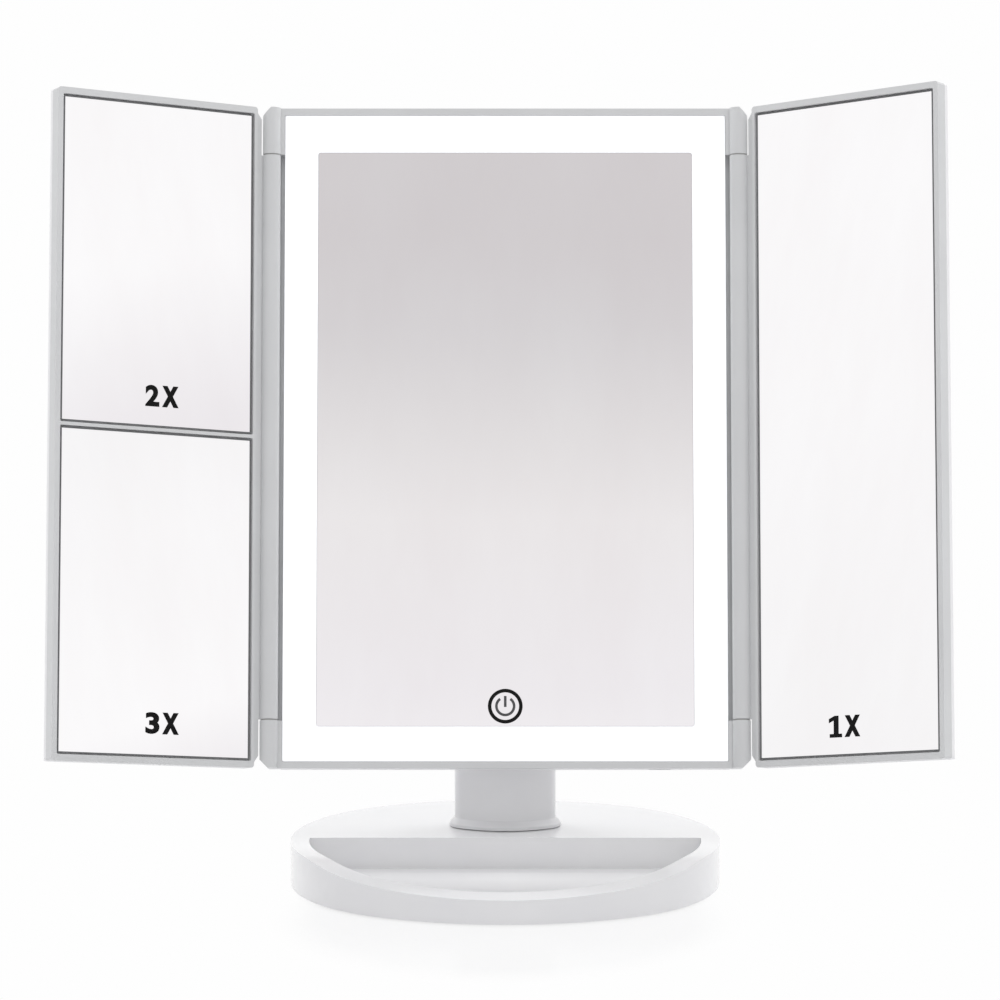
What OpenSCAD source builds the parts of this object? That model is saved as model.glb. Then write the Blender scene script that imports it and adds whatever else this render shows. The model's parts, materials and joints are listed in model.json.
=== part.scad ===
// Trifold vanity mirror: a lit centre mirror, two folding side wings and an oval tray base.
// Millimetres. X runs to the viewer's right, Y away from the viewer and Z up.
// The origin is the centre of the base's underside.

/* [Centre panel] */
// Height of the centre panel and of both wings
panel_h = 242.2; // [236:0.2:246]
// Width of the centre panel between its side walls
panel_w = 163.8; // [162:0.2:165]
// Depth of the front frame, from its lip to the joint with the back shell
frame_d = 5.6; // [5.6:0.1:6]
// Depth of the whole panel, from its lip to the back
panel_d = 12; // [12:0.5:14]
// Width of the lip beside the lit face
lip_side = 1.2; // [1:0.1:1.6]
// Width of the lip above and below the lit face
lip_end = 2.4; // [1.6:0.1:2.6]

/* [Mirror glass and light] */
// Width of the centre mirror
glass_w = 136.7; // [130:0.1:138]
// Height of the centre mirror
glass_h = 210.5; // [200:0.5:212]
// How far the centre mirror lies below the middle of the panel
glass_drop = 0.6; // [0.4:0.1:1]
// Thickness of every mirror
glass_t = 2; // [1.8:0.1:2]
// How far the lit face lies behind the lip
face_sink = 0.6; // [0.4:0.1:0.8]
// Thickness of the frosted light panel
light_t = 3; // [2.8:0.1:3]
// Height of the touch switch's centre above the lower edge
touch_z = 22.8; // [22.8:0.2:26]
// Lamps along each long side
lamps_side = 9; // [5:1:12]
// Lamps along each short side
lamps_end = 3; // [3:1:6]

/* [Wings] */
// Hinge axis to the outer edge of a wing
wing_out = 85.2; // [82:0.2:85.2]
// Hinge axis to the inner edge of a wing's body
wing_in = 5.6; // [5.4:0.1:5.8]
// Depth of a wing, from its lip to its back
wing_d = 8.3; // [8:0.1:9]
// Depth of a wing's front frame
wing_frame_d = 5; // [4.8:0.1:5.4]
// Width of a wing's lip on its outer side
wing_lip = 2; // [1.5:0.1:2.2]
// Width of a wing's lip on its hinge side
wing_lip_in = 1.2; // [1:0.1:2]
// How far a wing's mirror lies behind the lip
wing_sink = 0.8; // [0.6:0.1:0.8]
// Gap between a wing's mirror and its pocket
glass_gap = 0.6; // [0.2:0.1:0.8]
// Height of the bar between the two left mirrors
divider_z = 120.4; // [110:0.5:130]
// Width of the bar between the two left mirrors
divider_w = 1.2; // [1:0.1:2]
// How far the left wing is folded forward from flat
left_fold = 29; // [0:0.5:170]
// How far the right wing is folded forward from flat
right_fold = 36.5; // [0:0.5:170]

/* [Wing hinges] */
// Centre line to the hinge axis
hinge_x = 85.5; // [85.5:0.1:86]
// How far the hinge axis lies in front of the lip
hinge_forward = 0.3; // [0.2:0.1:0.5]
// Radius of the hinge barrel
barrel_r = 3.3; // [3.2:0.1:3.4]
// Length of the knuckle at each corner of the centre panel
knuckle_h = 17.2; // [15:0.2:20]
// Where the knuckle's end starts to slope off, measured outwards from the hinge axis
knuckle_flat = 0.2; // [0:0.1:1]
// Radius of the steel hinge pin
pin_r = 1.1; // [1:0.1:1.2]
// Running clearance round a pin or shaft
running_gap = 0.05; // [0.03:0.01:0.08]

/* [Stand] */
// Backward tilt of the head as shown, from upright
tilt = 16.8; // [0:0.1:45]
// Distance of the tilt axis behind the base's centre
pivot_y = 22; // [21:0.5:24]
// Height of the tilt axis
pivot_z = 64.6; // [62:0.2:70]
// Distance of the tilt axis behind the panel's lip
pivot_depth = 22.4; // [22.2:0.2:24]
// Height of the tilt axis above the panel's lower edge
pivot_up = 28; // [26:0.5:30]
// Half width of the oval neck
neck_a = 18.5; // [18:0.1:19]
// Half depth of the oval neck
neck_b = 8.6; // [8.2:0.1:8.8]
// How far the skirt stands out round the neck's foot
skirt_out = 1.9; // [1.5:0.1:2.2]
// Radius of the tilt shaft
shaft_r = 2.5; // [2.2:0.1:2.6]

/* [Base] */
// Half width of the oval base
base_a = 78; // [76:0.5:80]
// Half depth of the oval base
base_b = 62.6; // [61:0.2:64]
// Height of the base's flat rear half
base_h = 16; // [15.5:0.5:18]
// Downward slope of the front rim
front_slope = 11; // [8:0.1:11]
// Where the slope starts, measured from the centre
slope_y = -28; // [-30:1:-24]
// Straight back wall of the tray, measured from the centre
tray_back = 2.5; // [0:0.5:4]
// Width of the rim round the tray
rim = 6.8; // [6:0.1:7.2]
// Height of the tray's floor at the back
tray_floor = 4.6; // [4.6:0.1:5]

/* [Hidden] */

$fn = 64;
abs_white = [0.93, 0.93, 0.93];
abs_grey = [0.86, 0.86, 0.86];
steel = [0.72, 0.73, 0.75];
board_green = [0.16, 0.42, 0.28];
silvered = [0.80, 0.82, 0.84];

wall = 1.8;                                  // moulded wall of the shells
touch_r = 7;                                 // copper pad of the touch switch
fit_gap = 0.1;                               // gap round the centre mirror and its panel
ledge = 6;                                   // ledge that carries the light panel
ledge_d0 = face_sink + light_t;              // front of that ledge
ledge_d1 = frame_d - 0.8;                    // its back, where the lamp board lies
lit_w = panel_w - 2 * lip_side;
lit_h = panel_h - 2 * lip_end;
plate_d = panel_d - 2;                       // inner face of the back shell's plate
board_band = 13;                             // width of the lamp board's ring
lamp_x = lit_w / 2 - ledge - 3.7;            // centre line of the lamps at the sides
lamp_z = lip_end + ledge + 3;                // and their distance from each end
lamp_margin = 24;                            // space kept free at both ends of a row of lamps
screw_x = lit_w / 2 - 3.7;                   // screws of the back shell
screw_zs = [30, panel_h / 2, panel_h - 30];

wing_w = wing_out - wing_in;
wing_seat = wing_sink + glass_t;             // where the wing's mirror rests
wing_ledge_d = wing_seat + 1.4;
wing_ledge = 4;
glass_x0 = wing_in + wing_lip_in;
glass_x1 = wing_out - wing_lip;

cell_r = 5.2;                                // AAA cells
cell_len = 44.5;
cell_pitch = 11;
bay_z = 60;                                  // lower wall of the battery bay
bay_len = cell_len + 5;
bay_w = 4 * cell_pitch + 0.8;
box_w = 62;
box_z0 = 48;
box_z1 = 120;
door_t = 1.8;
door_in = panel_d + 2 * cell_r + 0.5;        // inner face of the door
box_d = door_in + door_t;
door_w = 53;
door_peg_r = 0.7;
door_axis_z = bay_z - 3.5;
door_top = bay_z + bay_len + 2.6;

usb_x = 56;
switch_x = 41;
switch_z = 20;
switch_travel = 4;
board_d = 8.8;                               // front face of the control board

bracket_t = 1.4;
bracket_w = 64;
bracket_h = 30;
bracket_screw_x = 28;
bracket_screw_z = 9;                         // above and below the tilt axis
ear_x = 18;                                  // inner face of a hinge ear
ear_t = 6;
ear_r = 8.5;
hinge_block = 17;                            // half length of the neck's hinge barrel
seat_x = ear_x + 2.6;                        // where the bolt's head and nut seat
cap_seat = ear_x + ear_t - 1;

neck_end_r = 5;
skirt_lip = 1.1;
skirt_gap = 0.3;                             // shadow gap between skirt and base
base_end_r = 58;
base_wall = 2.2;
base_clear = 0.5;                            // gap under the base's wall
pad_t = 0.8;
bottom_t = 1.8;
deck_z = pad_t + bottom_t;                   // top of the bottom plate
socket_floor = deck_z + 1.6;
plug_z = socket_floor + 2;
slope_blend = 60;
floor_bend_y = -14;
floor_bend_r = 190;
rear_boss = [45, 30];
front_boss = [30, -38];
neck_screw_x = 9;

// ---- plain helpers ----

// Rectangle with round corners, centred
module round_rect(w, h, r) {
    square([w - 2 * r, h], center = true);
    square([w, h - 2 * r], center = true);
    for (x = [-1, 1], y = [-1, 1])
        translate([x * (w / 2 - r), y * (h / 2 - r)]) circle(r);
}

// Four-centre oval of half width a, half depth b and end radius e. The wide arcs stop a
// little short of the point where the end arcs touch them, so that the outlines cross cleanly
module oval(a, b, e) {
    short = 0.2;
    big = (a * a - 2 * a * e + b * b) / (2 * (b - e));
    join_x = (a - e) * big / (big - e);
    intersection() {
        translate([0, b - big]) circle(big, $fn = 128);
        translate([0, big - b]) circle(big, $fn = 128);
        square([2 * (join_x - short), 4 * b], center = true);
    }
    for (x = [-1, 1]) translate([x * (a - e), 0]) circle(e, $fn = 96);
}

// Stands an outline drawn in X and Z up, from depth d0 to depth d1
module upright(d0, d1) {
    translate([0, d1, 0]) rotate([90, 0, 0]) linear_extrude(d1 - d0) children();
}

// Runs an outline drawn in Y and Z along X, w wide about the centre
module crosswise(w) {
    translate([-w / 2, 0, 0]) rotate([90, 0, 90]) linear_extrude(w) children();
}

// Upright panel outline, its lower edge at Z = 0
module panel_rect(w, h, r) {
    translate([0, panel_h / 2]) round_rect(w, h, r);
}

// Section of a slab whose two back corners are round
module back_round(w, d, r) {
    translate([-w / 2, 0]) square([w, d - r]);
    translate([r - w / 2, 0]) square([w - 2 * r, d]);
    for (s = [-1, 1]) translate([s * (w / 2 - r), d - r]) circle(r);
}

// Upright slab, w by h by d, with its back edges rounded to r and its outline to corner
module soft_slab(w, h, d, r, corner) {
    intersection() {
        upright(0, d) translate([0, h / 2]) round_rect(w, h, corner);
        linear_extrude(h) back_round(w, d, r);
        crosswise(w) translate([0, h / 2]) rotate(-90) back_round(h, d, r);
    }
}

// ---- placing ----

module on_head() {
    translate([0, pivot_y, pivot_z]) rotate([-tilt, 0, 0])
        translate([0, -pivot_depth, -pivot_up]) children();
}

// side is -1 for the left wing and 1 for the right one
module on_wing(side) {
    fold = side < 0 ? left_fold : right_fold;
    on_head() translate([side * hinge_x, -hinge_forward, 0]) rotate([0, 0, -side * fold])
        mirror([side < 0 ? 1 : 0, 0, 0]) translate([0, hinge_forward, 0]) children();
}

// Repeats a child at the top and the bottom end of a hinge
module both_ends() {
    children();
    translate([0, 0, panel_h]) mirror([0, 0, 1]) children();
}

// ---- centre panel ----

// Knuckle with the outer half of its end sloped off at 45 degrees
module knuckle(side) difference() {
    cylinder(r = barrel_r, h = knuckle_h);
    translate([side * knuckle_flat, 0, 0]) rotate([0, -45 * side, 0])
        translate([0, 0, -10]) cube([40, 20, 20], center = true);
}

module head_frame() color(abs_grey) on_head() difference() {
    union() {
        difference() {
            upright(0, frame_d) panel_rect(panel_w, panel_h, 1);
            upright(-1, ledge_d0) panel_rect(lit_w, lit_h, 0.6);
            upright(-1, frame_d + 1) panel_rect(lit_w - 2 * ledge, lit_h - 2 * ledge, 2);
            upright(ledge_d1, frame_d + 1) panel_rect(lit_w, lit_h, 0.6);
            // the side walls are cut back beside the wings' barrels
            upright(-1, ledge_d0 - 0.4) for (s = [-1, 1])
                translate([s * panel_w / 2, panel_h / 2])
                    square([2 * lip_side + 2, panel_h - 2 * knuckle_h], center = true);
        }
        for (s = [-1, 1], z = screw_zs)
            translate([s * screw_x, ledge_d0, z]) rotate([-90, 0, 0])
                cylinder(r = 3, h = plate_d - ledge_d0);
        for (s = [-1, 1]) both_ends() {
            translate([s * hinge_x, -hinge_forward, 0]) knuckle(s);
            translate([s > 0 ? panel_w / 2 - 1 : -hinge_x, 0, 0])
                cube([hinge_x - panel_w / 2 + 1, frame_d, knuckle_h]);
        }
        // strip that closes the gap behind each barrel
        for (s = [-1, 1]) translate([s > 0 ? panel_w / 2 - 1 : 1 - hinge_x, ledge_d0, knuckle_h - 1])
            cube([hinge_x - panel_w / 2, frame_d - ledge_d0, panel_h - 2 * knuckle_h + 2]);
    }
    for (s = [-1, 1], z = screw_zs)
        translate([s * screw_x, ledge_d1, z]) rotate([-90, 0, 0]) cylinder(r = 1, h = panel_d);
    for (s = [-1, 1]) both_ends()
        translate([s * hinge_x, -hinge_forward, knuckle_h - 10]) cylinder(r = pin_r, h = 11);
}

module light_panel() color("white") on_head() difference() {
    upright(face_sink, ledge_d0)
        panel_rect(lit_w - 2 * fit_gap, lit_h - 2 * fit_gap, 0.6);
    upright(-1, face_sink + glass_t) translate([0, -glass_drop])
        panel_rect(glass_w + 2 * fit_gap, glass_h + 2 * fit_gap, 0.9);
    translate([0, 0, touch_z]) rotate([-90, 0, 0]) cylinder(r = touch_r + 0.3, h = panel_d);
}

module centre_mirror() color(silvered) on_head()
    upright(face_sink, face_sink + glass_t) translate([0, -glass_drop])
        panel_rect(glass_w, glass_h, 0.8);

module led_board() color(board_green) on_head() difference() {
    upright(ledge_d1, frame_d) panel_rect(lit_w - 0.4, lit_h - 0.4, 0.6);
    upright(0, panel_d) panel_rect(lit_w - 2 * board_band, lit_h - 2 * board_band, 2);
    for (s = [-1, 1], z = screw_zs) {
        translate([s * screw_x, 0, z]) rotate([-90, 0, 0]) cylinder(r = 3.3, h = panel_d);
        translate([s * screw_x, panel_d / 2, z]) translate([s * 4, 0, 0])
            cube([8, panel_d, 6.6], center = true);
    }
}

module led_chip() translate([-1.4, ledge_d1 - 0.8, -1.4]) cube([2.8, 0.8, 2.8]);

module led_chips() color("gold") on_head() {
    step_z = (panel_h - 2 * lamp_margin) / (lamps_side - 1);
    step_x = 2 * (lamp_x - lamp_margin) / (lamps_end - 1);
    for (s = [-1, 1], i = [0 : lamps_side - 1])
        translate([s * lamp_x, 0, lamp_margin + i * step_z]) led_chip();
    for (z = [lamp_z, panel_h - lamp_z], i = [0 : lamps_end - 1])
        translate([lamp_margin - lamp_x + i * step_x, 0, z]) led_chip();
}

module touch_sensor() color("orange") on_head()
    translate([0, face_sink + glass_t, touch_z]) rotate([-90, 0, 0])
        cylinder(r = touch_r, h = 0.6);

// Small parts on the control board: [x, z, width, height, how far they stand off]
board_parts = [[62, 24, 5, 5, 1.4], [62, 12, 4, 3, 1], [50, 22, 2, 4, 1.2], [40, 9, 5, 5, 2]];

module control_board() color(board_green) on_head() difference() {
    union() {
        translate([35, board_d, 7]) cube([34, plate_d - board_d, 25]);
        for (p = board_parts)
            translate([p[0], board_d - p[4], p[1]]) cube([p[2], p[4] + 0.2, p[3]]);
    }
    translate([switch_x - 4.4, 0, switch_z - 1.5]) cube([8.8, panel_d, 3]);
}

module usb_inlet() color(steel) on_head() {
    difference() {
        translate([usb_x - 3.8, board_d - 2.9, 0.3]) cube([7.6, 2.9, 6.7 + 2]);
        translate([usb_x - 3.4, board_d - 2.5, -1]) cube([6.8, 2.1, 8]);
    }
    translate([usb_x - 1.8, board_d - 1.8, 1.5]) cube([3.6, 0.7, 6]);
}

module switch_body() color(steel) on_head() difference() {
    translate([switch_x - 5, board_d - 2.8, switch_z - 2.2]) cube([10, 2.8, 4.4]);
    translate([switch_x - 4, board_d - 1.6, switch_z - 1.4]) cube([8, 3, 2.8]);
}

module switch_slider() color("black") on_head()
    translate([switch_x + switch_travel / 2 - 1.7, board_d - 1.5, switch_z - 1.2]) difference() {
        cube([3.4, panel_d - board_d + 2.9, 2.4]);
        for (x = [0.7, 1.7, 2.7])
            translate([x - 0.15, panel_d - board_d + 2.5, -1]) cube([0.3, 1, 5]);
    }

module head_back_shell() color(abs_white) on_head() difference() {
    union() {
        difference() {
            translate([0, frame_d, 0]) soft_slab(panel_w, panel_h, panel_d - frame_d, 3, 1);
            upright(0, plate_d) panel_rect(panel_w - 2 * wall, panel_h - 2 * wall, 1);
        }
        at_bracket_screws() cylinder(r = 2.6, h = plate_d + 0.2);
    }
    upright(0, frame_d + 0.6) panel_rect(panel_w - 2 * wall, panel_h - 2 * wall, 1);
    at_bracket_screws() cylinder(r = 1, h = 30);
    for (s = [-1, 1], z = screw_zs) translate([s * screw_x, 0, z]) rotate([-90, 0, 0]) {
        cylinder(r = 1.1, h = 30);
        translate([0, 0, panel_d - 1.2]) cylinder(r = 2.2, h = 20);
    }
    // charging inlet and switch slot
    translate([usb_x - 4, board_d - 3.1, -1]) cube([8, 3.3, 5]);
    translate([switch_x - 4.3, plate_d - 1, switch_z - 1.5]) cube([8.6, 4, 3]);
}

// Places a child, pointing backwards, at each screw of the tilt bracket
module at_bracket_screws() for (x = [-1, 1], z = [-1, 1])
    translate([x * bracket_screw_x, 0, pivot_up + z * bracket_screw_z]) rotate([-90, 0, 0])
        children();

// Side outline of a hinge ear: a round eye on two straight flanks
module ear_profile() {
    reach = pivot_depth - panel_d;
    half_root = bracket_h / 2 - 1;
    lean = atan2(half_root, reach) - asin(ear_r / norm([reach, half_root]));
    touch_y = pivot_depth + ear_r * sin(lean);
    touch_h = ear_r * cos(lean);
    translate([pivot_depth, pivot_up]) circle(ear_r);
    translate([0, pivot_up]) polygon([[panel_d, -half_root], [touch_y, -touch_h],
        [touch_y, touch_h], [panel_d, half_root]]);
}

module tilt_bracket() color(abs_white) on_head() difference() {
    union() {
        upright(panel_d, panel_d + bracket_t) translate([0, pivot_up])
            round_rect(bracket_w, bracket_h, 3);
        for (x = [-ear_x - ear_t, ear_x])
            translate([x + ear_t / 2, 0, 0]) crosswise(ear_t) ear_profile();
    }
    at_bracket_screws() cylinder(r = 1.1, h = 30);
    // tilt shaft, its seats and its caps
    for (s = [-1, 1]) translate([0, pivot_depth, pivot_up]) rotate([0, s * 90, 0]) {
        cylinder(r = shaft_r + 0.02, h = 40);
        translate([0, 0, seat_x]) cylinder(r = 4.8, h = 20);
        translate([0, 0, cap_seat]) cylinder(r = 6, h = 20);
    }
}

module bracket_screws() color(steel) on_head() at_bracket_screws() difference() {
    union() {
        translate([0, 0, frame_d + 1]) cylinder(r = 1, h = panel_d + bracket_t - frame_d - 0.8);
        translate([0, 0, panel_d + bracket_t]) cylinder(r = 2, h = 0.7);
        translate([0, 0, panel_d + bracket_t + 0.7]) cylinder(r1 = 2, r2 = 1.4, h = 0.5);
    }
    for (a = [0, 90]) rotate(a)
        translate([-1.1, -0.25, panel_d + bracket_t + 0.5]) cube([2.2, 0.5, 1]);
}

module battery_box() color(abs_white) on_head() difference() {
    translate([0, panel_d, box_z0]) soft_slab(box_w, box_z1 - box_z0, box_d - panel_d, 3, 4);
    translate([-bay_w / 2, panel_d - 1, bay_z]) cube([bay_w, 30, bay_len]);
    // rebate of the door, with the sockets and the groove of its hinge
    translate([-door_w / 2, door_in, door_axis_z - 1.3])
        cube([door_w, 30, door_top + 0.2 - door_axis_z + 1.3]);
    for (s = [-1, 1]) translate([s * (door_w / 2 + 0.7), door_in + door_t / 2, door_axis_z])
        rotate([0, 90, 0]) cylinder(r = door_peg_r + running_gap, h = 3, center = true);
    translate([-door_w / 2, door_in + door_t / 2, door_axis_z]) rotate([0, 90, 0])
        cylinder(r = door_t / 2 + 0.3, h = door_w);
    // thumb notch above the door
    translate([0, box_d - 1.4, door_top]) rotate([-90, 0, 0]) cylinder(r = 4, h = 8);
}

module battery_door() color(abs_white) on_head() {
    difference() {
        union() {
            translate([0.2 - door_w / 2, door_in, door_axis_z])
                cube([door_w - 0.4, door_t, door_top - door_axis_z]);
            translate([0.2 - door_w / 2, door_in + door_t / 2, door_axis_z])
                rotate([0, 90, 0]) cylinder(r = door_t / 2, h = door_w - 0.4);
            // pegs of its hinge
            translate([0, door_in + door_t / 2, door_axis_z]) rotate([0, 90, 0])
                cylinder(r = door_peg_r, h = door_w + 4, center = true);
        }
        // two slits free the spring tongue of the latch
        for (s = [-1, 1]) translate([s * 6.5 - 0.4, 0, door_top - 9]) cube([0.8, 40, 10]);
    }
    // grip ridges on the tongue
    for (i = [0 : 2]) translate([-4, box_d - 0.2, door_top - 3 - 2 * i]) cube([8, 0.6, 0.8]);
}

// Places a child at battery i, with its plus end up or down in turn
module at_battery(i) {
    translate([(i - 2.5) * cell_pitch, panel_d + cell_r, bay_z + bay_len / 2])
        rotate([i % 2 == 0 ? 180 : 0, 0, 0]) children();
}

module battery(i) color("silver") on_head() at_battery(i) {
    translate([0, 0, -cell_len / 2]) cylinder(r = cell_r, h = cell_len - 1);
    translate([0, 0, cell_len / 2 - 1.5]) cylinder(r = 1.9, h = 1.5);
}

module battery_contacts() color(steel) on_head() for (i = [1 : 4]) at_battery(i) {
    for (s = [-1, 1]) mirror([0, 0, s < 0 ? 1 : 0]) {
        translate([-4.2, -4, bay_len / 2 - 0.5]) cube([8.4, 8, 0.5]);
        translate([0, 0, cell_len / 2]) cylinder(r1 = 1.6, r2 = 3.4, h = 2.2);
    }
}

module head_screws() color(steel) on_head()
    for (s = [-1, 1], z = screw_zs) translate([s * screw_x, 0, z]) rotate([-90, 0, 0]) {
        translate([0, 0, ledge_d1 + 0.4]) cylinder(r = 1, h = panel_d - 1.4 - ledge_d1);
        translate([0, 0, panel_d - 1.2]) difference() {
            cylinder(r = 1.95, h = 1.1);
            for (a = [0, 90]) rotate(a) translate([-1.2, -0.25, 0.5]) cube([2.4, 0.5, 1]);
        }
    }

// ---- wings ----

// Outline of a wing's pocket between heights z0 and z1
module pocket(z0, z1, grow) {
    translate([(glass_x0 + glass_x1) / 2, (z0 + z1) / 2])
        round_rect(glass_x1 - glass_x0 + 2 * grow, z1 - z0 + 2 * grow, 0.6);
}

// Wing frame with one pocket for each pair of heights
module wing_frame(pockets) difference() {
    union() {
        upright(0, wing_frame_d) translate([wing_in + wing_w / 2, panel_h / 2])
            round_rect(wing_w, panel_h, 1.2);
        // flange beside the knuckles, its corners cut off
        upright(0.6, 2.8) polygon([[barrel_r + 0.4, 4.4], [wing_in + 0.2, 1.4],
            [wing_in + 0.2, panel_h - 1.4], [barrel_r + 0.4, panel_h - 4.4]]);
        translate([0, 0.6, knuckle_h + 0.5])
            cube([wing_in + 0.2, 2.2, panel_h - 2 * knuckle_h - 1]);
        translate([0, -hinge_forward, knuckle_h + 0.5])
            cylinder(r = barrel_r, h = panel_h - 2 * knuckle_h - 1);
    }
    for (p = pockets) {
        upright(-1, wing_seat) pocket(p[0], p[1], 0);
        upright(-1, wing_frame_d + 1) pocket(p[0], p[1], -wing_ledge);
    }
    both_ends() translate([0, -hinge_forward, knuckle_h - 1])
        cylinder(r = pin_r + running_gap, h = 8);
}

// Back shell of a wing, ribbed inside
module wing_back() {
    difference() {
        translate([wing_in + wing_w / 2, wing_frame_d, 0])
            soft_slab(wing_w, panel_h, wing_d - wing_frame_d, 2, 1.2);
        upright(0, wing_d - wall) translate([wing_in + wing_w / 2, panel_h / 2])
            round_rect(wing_w - 2 * wall, panel_h - 2 * wall, 1);
    }
    for (i = [1 : 6])
        translate([wing_in + 1, wing_ledge_d + 0.8, i * panel_h / 7 + 2])
            cube([wing_w - 2, wing_d - wing_ledge_d - 1.8, 1.2]);
}

module wing_glass(z0, z1) upright(wing_sink, wing_seat) pocket(z0, z1, -glass_gap);

module foam_pad(z0, z1)
    upright(wing_seat, wing_seat + 2.2) pocket(z0, z1, -wing_ledge - 0.5);

low_z = [lip_end, divider_z - divider_w / 2];
high_z = [divider_z + divider_w / 2, panel_h - lip_end];
full_z = [lip_end, panel_h - lip_end];

module left_wing_frame() color(abs_grey) on_wing(-1) wing_frame([low_z, high_z]);
module left_wing_back() color(abs_white) on_wing(-1) wing_back();
module mirror_2x() color(silvered) on_wing(-1) wing_glass(high_z[0], high_z[1]);
module mirror_3x() color(silvered) on_wing(-1) wing_glass(low_z[0], low_z[1]);
module upper_foam_pad() color("dimgray") on_wing(-1) foam_pad(high_z[0], high_z[1]);
module lower_foam_pad() color("dimgray") on_wing(-1) foam_pad(low_z[0], low_z[1]);
module right_wing_frame() color(abs_grey) on_wing(1) wing_frame([full_z]);
module right_wing_back() color(abs_white) on_wing(1) wing_back();
module mirror_1x() color(silvered) on_wing(1) wing_glass(full_z[0], full_z[1]);
module right_foam_pad() color("dimgray") on_wing(1) foam_pad(full_z[0], full_z[1]);

// Pin at the bottom end; the top one is its mirror image
module hinge_pin(side, top) color(steel) on_head()
    translate([side * hinge_x, -hinge_forward, top ? panel_h : 0]) mirror([0, 0, top ? 1 : 0])
        translate([0, 0, knuckle_h - 10]) cylinder(r = pin_r, h = 16.4);

module hinge_washers() color("gray") on_head() for (s = [-1, 1]) both_ends()
    translate([s * hinge_x, -hinge_forward, knuckle_h]) difference() {
        cylinder(r = barrel_r - 0.3, h = 0.4);
        translate([0, 0, -1]) cylinder(r = pin_r, h = 3);
    }

// ---- stand ----

module neck() color(abs_grey) difference() {
    union() {
        shoulder = pivot_z - ear_r - 3.2;        // clear of the ears' flanks
        translate([0, pivot_y, base_h + skirt_gap])
            linear_extrude(shoulder - base_h - skirt_gap) oval(neck_a, neck_b, neck_end_r);
        // skirt that flares out over the base
        translate([0, pivot_y, base_h + skirt_gap]) hull() {
            linear_extrude(skirt_lip) oval(neck_a + skirt_out, neck_b + skirt_out,
                neck_end_r + skirt_out, $fn = 32);
            linear_extrude(skirt_lip + 2) oval(neck_a, neck_b, neck_end_r, $fn = 32);
        }
        // plug in the base
        translate([0, pivot_y, plug_z]) linear_extrude(base_h - plug_z + 1)
            oval(neck_a - 2.5, neck_b - 1.8, neck_end_r - 1.5);
        // hinge barrel on its block
        translate([-hinge_block, pivot_y - neck_b, shoulder - 1])
            cube([2 * hinge_block, 2 * neck_b, pivot_z - shoulder + 1]);
        translate([-hinge_block, pivot_y, pivot_z]) rotate([0, 90, 0])
            cylinder(r = neck_b, h = 2 * hinge_block);
    }
    translate([-50, pivot_y, pivot_z]) rotate([0, 90, 0])
        cylinder(r = shaft_r + running_gap, h = 100);
    for (s = [-1, 1]) translate([s * neck_screw_x, pivot_y, 0]) cylinder(r = 1.5, h = base_h);
}

module tilt_shaft() color(steel) on_head() translate([0, pivot_depth, pivot_up])
    rotate([0, 90, 0]) {
        translate([0, 0, -seat_x - 2.2]) cylinder(r = shaft_r, h = 2 * seat_x + 2.3);
        translate([0, 0, seat_x]) difference() {
            cylinder(r = 4.2, h = 2.2);
            translate([0, 0, 0.9]) cylinder(r = 2.2, h = 3, $fn = 6);
        }
    }

module tilt_nut() color(steel) on_head() translate([-seat_x - 2.2, pivot_depth, pivot_up])
    rotate([0, 90, 0]) difference() {
        cylinder(r = 4.6, h = 2.2, $fn = 6);
        translate([0, 0, -1]) cylinder(r = shaft_r, h = 5);
    }

module tilt_washer(s) color(steel) translate([s * hinge_block, pivot_y, pivot_z])
    rotate([0, s * 90, 0]) difference() {
        cylinder(r = 7.6, h = ear_x - hinge_block - 0.05);
        translate([0, 0, -1]) cylinder(r = shaft_r + 0.1, h = 5);
    }

module tilt_cap(s) color(abs_grey) on_head() translate([s * cap_seat, pivot_depth, pivot_up])
    rotate([0, s * 90, 0]) {
        cylinder(r = 5.9, h = 1);
        translate([0, 0, 1]) cylinder(r1 = 5.9, r2 = 5.3, h = 0.5);
    }

module neck_screws() color(steel) for (s = [-1, 1])
    translate([s * neck_screw_x, pivot_y, 0]) {
        translate([0, 0, socket_floor]) cylinder(r = 1.5, h = 9);
        translate([0, 0, socket_floor - 1.3]) difference() {
            cylinder(r = 2.8, h = 1.3);
            for (a = [0, 90]) rotate(a) translate([-1.6, -0.3, -0.5]) cube([3.2, 0.6, 1]);
        }
    }

// ---- base ----

module base_oval(inset) oval(base_a - inset, base_b - inset, base_end_r - inset);

// Everything under the base's top, lowered by drop: flat behind, sloping down to the front
module under_top(drop) {
    half = slope_blend * tan(front_slope / 2);
    reach = base_b + 5;
    front_z = base_h - (reach + slope_y) * tan(front_slope);
    translate([0, -drop]) polygon(concat(
        [[-reach, -10], [reach, -10], [reach, base_h]],
        [for (i = [0 : 6]) let (a = front_slope * i / 6)
            [slope_y + half - slope_blend * sin(a), base_h - slope_blend * (1 - cos(a))]],
        [[-reach, front_z]]));
}

// Section of the tray: a flat floor that rises in a wide curve to the front
module tray_section(drop) {
    translate([floor_bend_y, tray_floor - drop]) square([100, 60]);
    intersection() {
        translate([-100 + floor_bend_y, tray_floor - drop - 1]) square([100, 60]);
        translate([floor_bend_y, tray_floor - drop + floor_bend_r])
            circle(floor_bend_r, $fn = 256);
    }
}

// Plan of the tray, grown by w all round
module tray_plan(w) intersection() {
    base_oval(rim - w);
    translate([-100, -100]) square([200, 100 + tray_back + w]);
}

module tray_space(w, drop) intersection() {
    linear_extrude(40) tray_plan(w);
    crosswise(300) tray_section(drop);
}

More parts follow.
